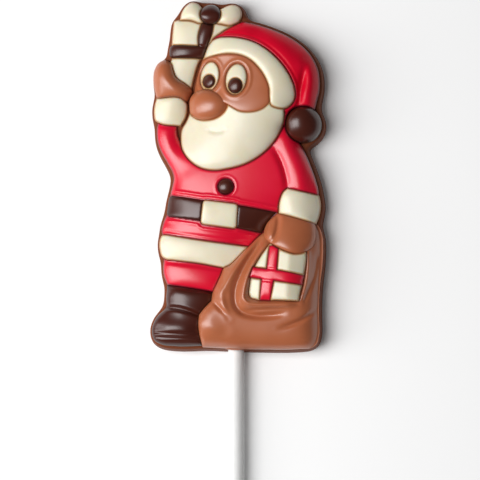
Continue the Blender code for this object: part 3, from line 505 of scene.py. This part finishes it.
def boot_relief(points):
    """A full shaft and toe, the top band, a deep crease at the ankle, two lines round the sole."""
    band = fold(points, [(-18.5, 16.2), (-14.5, 15.4), (-11.4, 14.7), (-3.5, 14.0)],
                0.25, -0.3, 1.5)
    ankle = fold(points, [(-19.0, 10.6), (-16.5, 10.5), (-13.9, 10.2), (-11.4, 9.5), (-7.0, 7.6)],
                 0.5, -1.0, 1.5)
    sole = fold(points, [(-23.0, 4.6), (-17.0, 4.1), (-13.0, 3.9), (-6.0, 3.2)], 0.25, -0.35, 1.5)
    welt = fold(points, [(-23.0, 3.5), (-17.0, 3.05), (-13.0, 2.9), (-6.0, 2.3)], 0.25, -0.35, 1.5)
    shaft = fold(points, [(-17.0, 15.0), (-11.4, 14.6), (-5.5, 14.0)], 2.2, 0.5, 1.5)
    toe = fold(points, [(-19.5, 5.4), (-16.0, 5.2), (-9.0, 4.6)], 2.0, 0.7, 2.0)
    return band + ankle + sole + welt + shaft + toe


def raised_hand_relief(points):
    """The knuckles make one long back that turns towards the thumb."""
    return fold(points, [(-17.9, 74.0), (-18.0, 68.5), (-15.5, 65.3), (-10.5, 62.5)], 1.9, 0.6, 2.5)


def lowered_hand_relief(points):
    """A thumb beside the crease that parts it from the closed fingers."""
    crease = fold(points, [(10.9, 34.5), (10.8, 30.5), (10.2, 27.9), (8.6, 25.5)], 0.6, -0.8, 1.8)
    thumb = fold(points, [(8.8, 33.0), (8.7, 29.5), (9.0, 26.5)], 0.9, 0.4, 1.5)
    return crease + thumb


def sack_relief(points):
    """Folds round the sack's open mouth, over a full bottom and a right side that falls away."""
    mouth = [(9.2, 27.6), (6.7, 24.2), (4.7, 20.9), (3.2, 17.5), (2.5, 14.5), (2.4, 12.6),
             (3.3, 11.4), (5.3, 11.0), (9.9, 10.9), (16.0, 11.0)]
    valley = [(7.8, 29.5), (5.4, 25.2), (3.3, 22.0), (1.6, 18.7), (0.4, 15.5), (0.1, 13.0),
              (0.6, 10.6), (1.9, 9.2), (4.0, 8.5), (9.0, 8.3), (14.0, 8.9)]
    outer_roll = [(6.2, 27.6), (3.1, 24.0), (0.6, 20.8), (-1.6, 16.8), (-3.4, 12.6)]
    return (fold(points, mouth, 0.8, 1.2, 2.0) + fold(points, valley, 0.75, -1.2, 4.0)
            + fold(points, outer_roll, 1.0, 0.7, 2.0)
            + fold(points, [(1.0, 9.6), (4.9, 9.65), (9.9, 10.0), (14.5, 10.2)], 0.35, -0.35, 2.0)
            + fold(points, [(-3.3, 17.0), (-3.3, 13.3), (-2.5, 10.3), (-1.4, 7.5)], 0.9, 0.6, 1.8)
            + fold(points, [(-6.4, 12.8), (-3.6, 10.2), (-1.2, 7.6)], 0.5, -0.8, 2.2)
            + fold(points, [(-8.0, 8.5), (-6.0, 5.8), (-2.0, 4.2)], 1.8, 0.4, 2.5)
            + fold(points, [(18.4, 25.0), (18.3, 19.5), (17.7, 15.5), (16.6, 11.6)], 0.45, 0.7, 0.9)
            + fold(points, [(20.6, 24.5), (19.6, 18.0), (18.1, 14.0), (16.9, 11.2)], 0.5, -0.6, 1.5)
            + fold(points, [(21.8, 11.4), (18.9, 8.7), (16.6, 7.1), (13.8, 5.9), (10.0, 4.8)],
                   0.6, -0.7, 3.0)
            - SACK_SLOPE * np.logaddexp(0, points[:, 0] - SACK_SIDE))


def parcel_relief(points):
    """The boxed parcel's front rises to its right-hand edge, where it turns away."""
    edge = PARCEL_EDGE[0] + (points[:, 1] - PARCEL_EDGE[1]) * PARCEL_LEAN
    beyond = np.logaddexp(0, (points[:, 0] - edge) / PARCEL_ROUNDING) * PARCEL_ROUNDING
    return PARCEL_RISE * (points[:, 0] - points[:, 0].min()) - PARCEL_SLOPE * beyond


def along(points, names, place, width, height):
    """Rounded ridge, or groove, at a distance from the nearest of the named outlines."""
    limit = place + FOLD_REACH * width
    distance = np.min([near_distance(points, LOOPS[name], limit) for name in names], axis=0)
    return height * np.exp(-(((distance - place) / width) ** 2))


def hat_lip(points):
    """A thin rolled lip along the brim."""
    return along(points, ["brim"], 0.5, 0.25, 0.3) + along(points, ["brim"], 1.0, 0.3, -0.15)


def coat_edges(points):
    """The rolled lower edge round the belt and buckle, and the ring round the button."""
    waist = ["belt", "buckle"]
    return (along(points, waist, 1.2, 0.28, 0.3) + along(points, waist, 0.65, 0.25, -0.3)
            + along(points, ["button"], 0.1, 0.3, -0.15) + along(points, ["button"], 0.7, 0.25, 0.1)
            + along(points, ["cuff_raised"], 0.5, 0.35, -0.25))


def skirt_edges(points):
    """A groove under the belt, which steps down round the buckle, and one over the hem."""
    waist = ["belt", "buckle"]
    return (along(points, waist, 0.45, 0.28, -0.3) + along(points, waist, 1.0, 0.3, 0.12)
            + along(points, ["hem"], 0.9, 0.3, -0.2))


def leg_edges(points):
    """A groove under the hem."""
    return along(points, ["hem"], 0.6, 0.4, -0.3)


def eye_sockets(points):
    """A soft rim round each eye, with a hollow inside it."""
    eyes = ["eye_left", "eye_right"]
    return along(points, eyes, 0.8, 0.4, 0.22) + along(points, eyes, 0.1, 0.3, -0.12)


def smile(points):
    """A small smile under the nose."""
    return fold(points, [(-6.9, 55.0), (-5.4, 54.2), (-3.4, 54.1), (-1.6, 54.9)], 0.6, -0.22, 1.0)


def sack_ribbon_crossing(points):
    """The level band crosses over the upright one."""
    return (fold(points, [(7.4, 20.0), (11.4, 19.5)], 0.25, -0.3, 0.5)
            + fold(points, [(6.4, 17.1), (10.6, 16.6)], 0.25, -0.3, 0.5))


def raised_ribbon_crossing(points):
    """The level band crosses over the upright one."""
    return fold(points, [(-10.0, 76.0), (-7.8, 75.6), (-5.9, 75.2)], 0.3, -0.5, 0.6)


# Fields from front to back: name, chocolate, outline, rise of the middle over what lies behind,
# and width of the rounding at the edge
FIELDS = [
    ("nose", "milk", smooth_loop(NOSE), 3.0, 8.0),
    ("pupil_left", "dark", oval((-6.4, 66.8), (1.6, 1.7)), 1.0, 4.0),
    ("pupil_right", "dark", oval((0.4, 65.4), (1.8, 1.95)), 1.1, 4.0),
    ("eye_left", "white", oval((-6.2, 68.1), (2.5, 3.7), 8.0), 0.9, 3.0),
    ("eye_right", "white", oval((0.6, 67.1), (2.7, 3.9), 8.0), 0.9, 3.0),
    ("button", "dark", oval((-2.1, 40.45), (1.95, 1.95)), 1.2, 5.0),
    ("buckle", "white", rounded(BUCKLE, 1.1), 0.8, 1.2),
    ("cuff_raised", "white", smooth_loop(CUFF_RAISED), 1.3, 3.0),
    ("cuff_lowered", "white", smooth_loop(CUFF_LOWERED), 1.4, 4.0),
    ("hand_raised", "milk", smooth_loop(HAND_RAISED), 2.8, 3.0),
    ("hand_lowered", "milk", smooth_loop(HAND_LOWERED), 2.8, 4.0),
    ("pompom", "dark", oval((17.1, 56.0), (4.5, 4.55)), 3.8, 12.0),
    ("brim", "white", smooth_loop(BRIM), 1.5, 3.0),
    ("face", "milk", smooth_loop(FACE), 1.2, 6.0),
    ("beard", "white", smooth_loop(BEARD), 3.0, 8.0),
    ("knot", "dark", oval((-6.1, 83.75), (2.6, 2.6)), 1.9, 6.0),
    ("loop_left", "white", smooth_loop(LOOP_LEFT), 2.0, 6.0),
    ("loop_right", "white", smooth_loop(LOOP_RIGHT), 2.0, 6.0),
    ("hat", "red", smooth_loop(HAT), 5.4, 9.0),
    ("ribbon_raised", "dark", smooth_loop(RIBBON_RAISED), 1.0, 1.2),
    ("wrap_raised", "white", smooth_loop(WRAP_RAISED), 1.6, 1.5),
    ("ribbon_sack", "red", smooth_loop(RIBBON_SACK), 0.5, 0.8),
    ("wrap_sack", "white", smooth_loop(WRAP_SACK), 0.8, 1.0),
    ("sack", "milk", smooth_loop(SACK), 4.2, 2.6),
    ("belt", "dark", smooth_loop(BELT), 0.7, 1.5),
    ("hem", "white", smooth_loop(HEM), 1.0, 2.0),
    ("skirt", "red", smooth_loop(SKIRT), 0.7, 1.5),
    ("boot", "dark", smooth_loop(BOOT), 3.0, 6.0),
    ("leg", "red", smooth_loop(LEG), 2.6, 8.0),
    ("coat", "red", smooth_loop(COAT), 4.5, 12.0),
    ("stick_lip", "milk", oval((0.0, 0.75), (2.9, 0.8)), 0.7, 2.0),
]
LOOPS = {field[0]: field[2] for field in FIELDS}
RELIEFS = {"hat": [hat_relief, hat_lip], "coat": [coat_relief, coat_edges], "boot": [boot_relief],
           "sack": [sack_relief], "hand_raised": [raised_hand_relief],
           "hand_lowered": [lowered_hand_relief], "wrap_sack": [parcel_relief],
           "ribbon_sack": [sack_ribbon_crossing], "ribbon_raised": [raised_ribbon_crossing],
           "skirt": [skirt_edges], "leg": [leg_edges], "face": [eye_sockets], "beard": [smile]}
# Share by which a field sits level instead of following the slope behind it
LEVELLED = {"pompom": 0.6, "nose": 0.6, "leg": 0.8, "hem": 0.5, "boot": 0.6, "cuff_raised": 0.5,
            "wrap_sack": 0.6, "hand_lowered": 0.3}


def field_surface(field, fronts, ground):
    """Points and heights of a field, its triangles, those in sight, and distances to its seams."""
    name, chocolate, outline, rise, reach = field
    fronts = [front for front in fronts
              if inside(front, outline).any() or inside(outline, front).any()]
    lines = [outline] + fronts
    points, triangles, owners = triangulate(lines, grid_points(outline, fronts))
    own = triangles[[0 in owner for owner in owners]]
    clear = triangles[[list(owner) == [0] for owner in owners]]
    rim = np.unique(rim_edges(own))
    held = np.zeros(len(points))
    seat = softened(ground, GROUND_SOFTNESS)
    seat += LEVELLED.get(name, 0.0) * (seat.mean() - seat)
    held[rim] = seat[nearest(outline, points[rim])]
    lying = membrane(points, own, GROUND_REACH, 0.0, held)
    dome = membrane(points, own, reach, 1.0, np.zeros(len(points)))
    height = lying + rise * np.sqrt(np.clip(dome / dome.max(), 0, 1))
    for relief in RELIEFS.get(name, []):
        height += relief(points)
    # Milk chocolate is cast in one with the backing, so it has no seam along its own outline
    seams = fronts if chocolate == "milk" else lines
    seam = np.full(len(points), SEAM_REACH)
    for line in seams:
        seam = np.minimum(seam, near_distance(points, line, SEAM_REACH))
    height -= SEAM_DEPTH * np.exp(-((seam / SEAM_WIDTH) ** 2))
    height = np.logaddexp(height / THINNEST_BLEND, THINNEST / THINNEST_BLEND) * THINNEST_BLEND
    return points, PLATE_HEIGHT + height, own, clear, seam


def area(points, triangles):
    """Area of the triangles, seen from the front."""
    a, b, c = (points[triangles[:, i]] for i in range(3))
    return abs((b - a)[:, 0] * (c - a)[:, 1] - (b - a)[:, 1] * (c - a)[:, 0]).sum() / 2


def colour(code):
    """Linear colour of an sRGB hex value."""
    parts = [int(code[i:i + 2], 16) / 255 for i in (1, 3, 5)]
    linear = [p / 12.92 if p <= 0.04045 else ((p + 0.055) / 1.055) ** 2.4 for p in parts]
    return (*linear, 1.0)


def node(tree, kind, settings=None, links=None):
    """Node with its settings (attributes or socket values) and its incoming links.

    A Mix node's sockets go by number: 0 is the share, 6 and 7 are the colours, 2 is the result.
    """
    made = tree.nodes.new(kind)
    for name, value in (settings or {}).items():
        if isinstance(name, str) and hasattr(made, name):
            setattr(made, name, value)
        else:
            made.inputs[name].default_value = value
    for name, source in (links or {}).items():
        tree.links.new(source, made.inputs[name])
    return made


def moulded_chocolate(name, body, seam, cloud, roughness, subsurface, gloss=0.5):
    """Chocolate let out of a polished mould: soft satin gloss, faint clouding, seams tinted partly
    by the chocolate beneath and partly with painted shade, and a little light carried under the
    surface of the paler ones."""
    material = bpy.data.materials.new(name)
    material.use_nodes = True
    tree = material.node_tree
    surface = tree.nodes["Principled BSDF"]
    place = node(tree, "ShaderNodeTexCoord").outputs["Object"]
    # Faint clouding of the cocoa butter
    patches = node(tree, "ShaderNodeTexNoise",
                   {"Scale": 1 / (CLOUD_SIZE * MM), "Detail": 3.0, "Roughness": 0.5},
                   {"Vector": place}).outputs["Fac"]
    clouded = node(tree, "ShaderNodeMapRange", {"From Min": 0.35, "From Max": 0.7},
                   {"Value": patches}).outputs["Result"]
    shades = node(tree, "ShaderNodeMix", {"data_type": "RGBA", 6: colour(body), 7: colour(cloud)},
                  {0: clouded}).outputs[2]
    # Towards the seam the colour turns to the seam colour. For the white chocolate this is the milk
    # beneath; for the others it is a darker copy of their own colour, which is painted shade in the
    # seam.
    distance = node(tree, "ShaderNodeAttribute", {"attribute_name": "seam"}).outputs["Fac"]
    seam_tint_and_shade = node(tree, "ShaderNodeMapRange",
                 {"interpolation_type": "SMOOTHSTEP", "From Min": SEAM_TINT[0],
                  "From Max": SEAM_TINT[1], "To Min": 1.0, "To Max": 0.0},
                 {"Value": distance}).outputs["Result"]
    mixed = node(tree, "ShaderNodeMix", {"data_type": "RGBA", 7: colour(seam)},
                 {0: seam_tint_and_shade, 6: shades}).outputs[2]
    tree.links.new(mixed, surface.inputs["Base Color"])
    # Fine unevenness of the cast skin
    grain = node(tree, "ShaderNodeTexNoise", {"Scale": 1 / (GRAIN_SIZE * MM), "Detail": 2.0},
                 {"Vector": place}).outputs["Fac"]
    dents = node(tree, "ShaderNodeBump", {"Strength": 0.05, "Distance": GRAIN_DEPTH * MM},
                 {"Height": grain})
    tree.links.new(dents.outputs["Normal"], surface.inputs["Normal"])
    surface.inputs["Roughness"].default_value = roughness
    surface.inputs["IOR"].default_value = 1.5
    surface.inputs["Specular IOR Level"].default_value = gloss
    surface.inputs["Subsurface Weight"].default_value = subsurface
    surface.inputs["Subsurface Scale"].default_value = 2.0 * MM
    surface.inputs["Subsurface Radius"].default_value = (1.0, 0.6, 0.35)
    return material


# The second colour of each finish is its seam's: the milk beneath for the white, and for the others
# a darker copy of their own colour, painted shade along the seams
FINISHES = {
    "milk": moulded_chocolate("moulded_milk_chocolate", "#B36540", "#9C5638", "#B96B46",
                              0.32, 0.10, 0.8),
    "white": moulded_chocolate("moulded_white_chocolate", "#E8DFC4", "#B98A5C", "#ECE5D0",
                               0.30, 0.55),
    "dark": moulded_chocolate("moulded_dark_chocolate", "#44190F", "#32140C", "#4A1E13",
                              0.29, 0.0, 0.62),
    "red": moulded_chocolate("moulded_red_chocolate", "#E0042E", "#8C1226", "#E40C36",
                             0.28, 0.05, 0.75),
    # The hat's skin came out of the mould duller than the coat's. Its red is also a darker copy of
    # the coat's, painted shade for the hat's slopes that turn away from the light.
    "hat": moulded_chocolate("dull_red_chocolate_painted_shade", "#D80628", "#7A0E20", "#DC0A2E",
                             0.32, 0.0, 0.2),
    # The backing's wall and rim are the same milk chocolate as the fields. They get a duller skin
    # and a darker copy of its colour, painted shade for the wall that lies in shadow.
    "side": moulded_chocolate("milk_chocolate_side_painted_shade", "#7A4128", "#7A4128", "#82462D",
                              0.6, 0.0, 0.1),
}


def rolled_paper():
    """Tightly rolled, calendered paper: matt white, with fine fibres along the stick."""
    material = bpy.data.materials.new("rolled_paper")
    material.use_nodes = True
    tree = material.node_tree
    surface = tree.nodes["Principled BSDF"]
    place = node(tree, "ShaderNodeTexCoord").outputs["Object"]
    # Fibres, drawn coarser than life to show
    stretched = node(tree, "ShaderNodeMapping", {"Scale": [1 / size for size in FIBRE_SIZE]},
                     {"Vector": place}).outputs["Vector"]
    fibres = node(tree, "ShaderNodeTexNoise", {"Scale": 1 / MM, "Detail": 3.0},
                  {"Vector": stretched}).outputs["Fac"]
    pale = node(tree, "ShaderNodeMapRange", {"From Min": 0.3, "From Max": 0.7},
                {"Value": fibres}).outputs["Result"]
    shades = node(tree, "ShaderNodeMix",
                  {"data_type": "RGBA", 6: colour("#E9E9E7"), 7: colour("#F5F5F4")},
                  {0: pale}).outputs[2]
    tree.links.new(shades, surface.inputs["Base Color"])
    raised = node(tree, "ShaderNodeBump", {"Strength": 0.15, "Distance": FIBRE_DEPTH * MM},
                  {"Height": fibres})
    tree.links.new(raised.outputs["Normal"], surface.inputs["Normal"])
    surface.inputs["Roughness"].default_value = 0.62
    surface.inputs["IOR"].default_value = 1.5
    return material


def drawing_place():
    """Where the drawing's origin lies in the frame, in millimetres, from the stick's solid."""
    low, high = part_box("stick")
    return Vector(((low[0] + high[0]) / 2 / MM, low[1] / MM + STICK_LENGTH - STICK_SUNK, 0.0))


PLACE = drawing_place()


def finished(name, shape, finish, replaced):
    """Adds the shape, drawn in millimetres, as an object in its place in the frame."""
    bmesh.ops.recalc_face_normals(shape, faces=shape.faces[:])
    bmesh.ops.translate(shape, vec=PLACE, verts=shape.verts[:])
    bmesh.ops.scale(shape, vec=(MM, MM, MM), verts=shape.verts[:])
    mesh = bpy.data.meshes.new(name)
    shape.to_mesh(mesh)
    shape.free()
    mesh.materials.append(finish)
    mesh.shade_smooth()
    piece = bpy.data.objects.new(name, mesh)
    bpy.context.scene.collection.objects.link(piece)
    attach(piece, "root")
    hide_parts(replaced)


def cast_field(points, triangles, height, seam):
    """Closed cast piece from within the backing up to the height at each point."""
    shape = bmesh.new()
    level = shape.verts.layers.float.new("level")
    distance = shape.verts.layers.float.new("seam")
    corners = {}
    for index in np.unique(triangles).tolist():
        corner = shape.verts.new((*points[index], PLATE_HEIGHT - SUNK))
        corner[level] = height[index]
        corner[distance] = seam[index]
        corners[index] = corner
    for triangle in triangles.tolist():
        shape.faces.new([corners[index] for index in triangle])
    raised = bmesh.ops.extrude_face_region(shape, geom=shape.faces[:])["geom"]
    for part in raised:
        if isinstance(part, bmesh.types.BMVert):
            part.co.z = part[level]
    shape.verts.layers.float.remove(shape.verts.layers.float["level"])
    return shape


def backing():
    """Backing with a flat back, a leaning wall and a chamfered front edge."""
    shape = bmesh.new()
    edge = plate_outline()
    shoulder = PLATE_HEIGHT - PLATE_CHAMFER
    profile = [(0.0, 0.0)]
    profile += [(PLATE_DRAFT + PLATE_CHAMFER * (1 - math.cos(a) ** CHAMFER_BEND),
                 shoulder + PLATE_CHAMFER * math.sin(a) ** CHAMFER_BEND)
                for a in np.radians(np.arange(0, 90, CHAMFER_STEP))]
    ahead = np.roll(edge, -1, axis=0) - np.roll(edge, 1, axis=0)
    inward = np.column_stack([-ahead[:, 1], ahead[:, 0]]) / np.hypot(*ahead.T)[:, None]
    rings = [[shape.verts.new((x, y, z)) for x, y in edge + inward * inset] for inset, z in profile]
    for lower, upper in zip(rings, rings[1:]):
        for i, corner in enumerate(lower):
            j = (i + 1) % len(lower)
            shape.faces.new([corner, lower[j], upper[j], upper[i]])
    shape.faces.new(rings[0][::-1])
    shape.faces.new(rings[-1])
    return shape


def rolled_stick():
    """Round stick with slightly worn ends, sunk into the backing."""
    shape = bmesh.new()
    radius = STICK_DIAMETER / 2
    far, deep = STICK_SUNK - STICK_LENGTH, STICK_SUNK
    rings = []
    for y, r in [(far, radius - WORN_END), (far + WORN_END, radius), (deep - WORN_END, radius),
                 (deep, radius - WORN_END)]:
        rings.append([shape.verts.new((r * math.cos(a), y, STICK_HEIGHT + r * math.sin(a)))
                      for a in np.arange(STICK_SIDES) * math.tau / STICK_SIDES])
    for lower, upper in zip(rings, rings[1:]):
        for i, corner in enumerate(lower):
            j = (i + 1) % STICK_SIDES
            shape.faces.new([corner, lower[j], upper[j], upper[i]])
    shape.faces.new(rings[0])
    shape.faces.new(rings[-1][::-1])
    return shape


def make_fields():
    """Casts every field over what lies behind it, from the back to the front."""
    borders = {name: grown(outline, GAP) for name, outline in LOOPS.items()}
    ground = {name: np.full(len(outline), EDGE_LIFT) for name, outline in LOOPS.items()}
    for order, field in reversed(list(enumerate(FIELDS))):
        name, chocolate, outline, *_ = field
        fronts = FIELDS[:order]
        # Milk chocolate runs on under milk chocolate without a gap
        cuts = [borders[front] for front, other, *_ in fronts if not chocolate == other == "milk"]
        points, height, own, clear, seam = field_surface(field, cuts, ground[name])
        covered = np.unique(own)
        for front, *_ in fronts:
            lies = inside(LOOPS[front], outline)
            if lies.any():
                under = covered[nearest(points[covered], LOOPS[front][lies])]
                ground[front][lies] = height[under] - PLATE_HEIGHT
        finish = FINISHES.get(name, FINISHES[chocolate])
        groups = [group for group in parts_of(clear) if area(points, group) > SMALLEST_FIELD]
        # Numbered from the top downwards
        groups.sort(key=lambda group: -points[group].mean(axis=(0, 1))[1])
        for number, group in enumerate(groups, 1):
            title = name if len(groups) == 1 else f"{name}_{number}"
            shape = cast_field(points, group, height, seam)
            replaced = "milk_body" if chocolate == "milk" else title
            finished(title + "_cast", shape, finish, replaced)


def soft_light(name, offset, size, power, target):
    """Rectangular light at an offset from the target, which it faces."""
    light = bpy.data.lights.new(name, "AREA")
    light.shape = "RECTANGLE"
    light.size, light.size_y = size
    light.energy = power
    lamp = bpy.data.objects.new(name, light)
    lamp.location = target + Vector(offset)
    lamp.rotation_euler = (-Vector(offset)).to_track_quat("-Z", "Y").to_euler()
    bpy.context.scene.collection.objects.link(lamp)


def studio():
    """White table, two soft lights on the left, faint light all round, and the camera above."""
    table = bmesh.new()
    bmesh.ops.create_grid(table, x_segments=1, y_segments=1, size=TABLE_REACH)
    mesh = bpy.data.meshes.new("table")
    table.to_mesh(mesh)
    table.free()
    paint = bpy.data.materials.new("white_table")
    paint.use_nodes = True
    top = paint.node_tree.nodes["Principled BSDF"]
    top.inputs["Base Color"].default_value = colour("#FDFDFD")
    top.inputs["Roughness"].default_value = 0.9
    top.inputs["Emission Color"].default_value = colour("#FFFFFF")
    top.inputs["Emission Strength"].default_value = TABLE_GLOW
    mesh.materials.append(paint)
    floor = bpy.data.objects.new("table", mesh)
    bpy.context.scene.collection.objects.link(floor)

    middle = (PLACE + Vector(PICTURE_CENTRE)) * MM
    soft_light("softbox", *SOFTBOX, middle)
    soft_light("side", *SIDE_LIGHT, middle)

    world = bpy.data.worlds.new("studio")
    world.use_nodes = True
    fill = world.node_tree.nodes["Background"]
    fill.inputs["Color"].default_value = colour("#FFFFFF")
    fill.inputs["Strength"].default_value = FILL_STRENGTH
    bpy.context.scene.world = world

    camera = bpy.data.cameras.new("camera")
    camera.sensor_fit = "HORIZONTAL"
    camera.sensor_width = SENSOR_WIDTH
    camera.lens = SENSOR_WIDTH * CAMERA_DISTANCE / PICTURE_WIDTH
    eye = bpy.data.objects.new("camera", camera)
    turn = Euler((CAMERA_LEAN[1], CAMERA_LEAN[0], 0.0))
    eye.location = middle + turn.to_matrix() @ Vector((0.0, 0.0, CAMERA_DISTANCE))
    eye.rotation_euler = turn
    bpy.context.scene.collection.objects.link(eye)
    bpy.context.scene.camera = eye
    bpy.context.scene.view_settings.view_transform = "Standard"


make_fields()
# The backing's darker colour is painted shade
finished("backing_cast", backing(), FINISHES["side"], "milk_body")
finished("rolled_stick", rolled_stick(), rolled_paper(), "stick")
studio()
